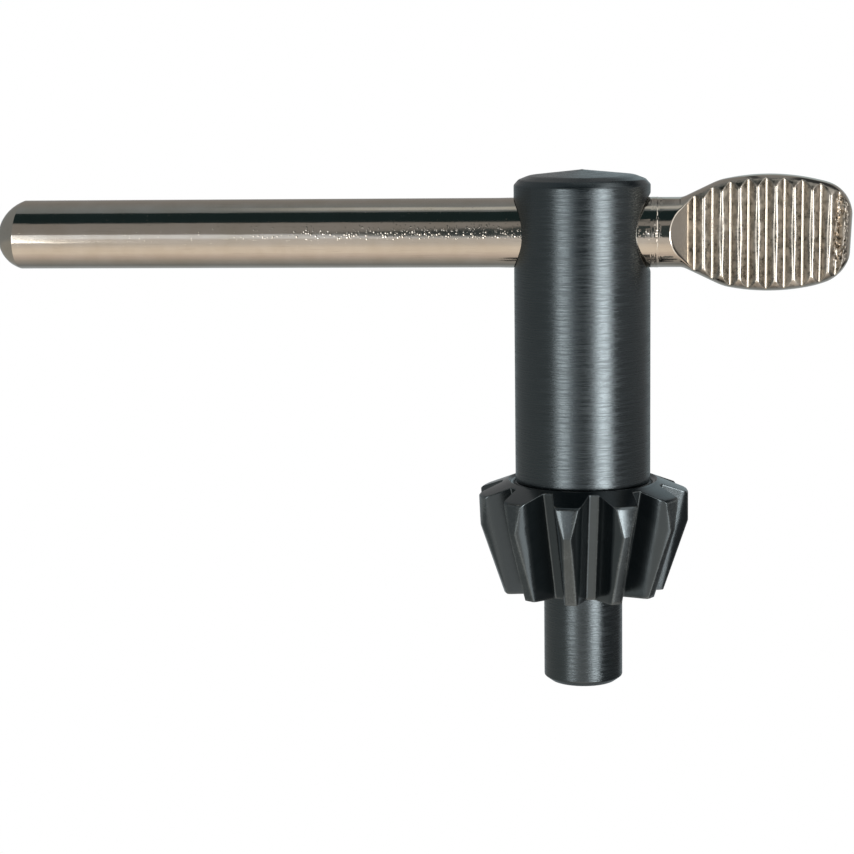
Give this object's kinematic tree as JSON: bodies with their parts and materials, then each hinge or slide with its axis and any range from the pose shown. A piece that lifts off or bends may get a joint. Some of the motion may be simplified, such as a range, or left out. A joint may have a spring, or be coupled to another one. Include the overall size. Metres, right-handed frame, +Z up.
{
  "type": "drill chuck key",
  "caption": "Drill chuck key: dark steel shank with a bevel pinion and pilot, and a press-fitted cross bar whose far end is flattened into a ribbed thumb grip.",
  "frame": {"origin": "on the shank's axis, in the plane of the pinion's end face, where the pilot starts", "axes": "+Z up the shank, away from the pilot; +X along the cross bar to its thumb grip; Y square to the grip's flat faces"},
  "size_m": [0.0632, 0.0156, 0.0382],
  "materials": {
    "black_oxide_steel": "black oxide over fine turning marks, satin, with bare steel at worn tooth edges",
    "nickel_plate": "bright warm nickel plate with faint drawing lines, scuffed where it was pressed through the shank"
  },
  "bodies": {
    "root": {"key_body": "black_oxide_steel", "handle_bar": "nickel_plate"}
  },
  "joints": []
}
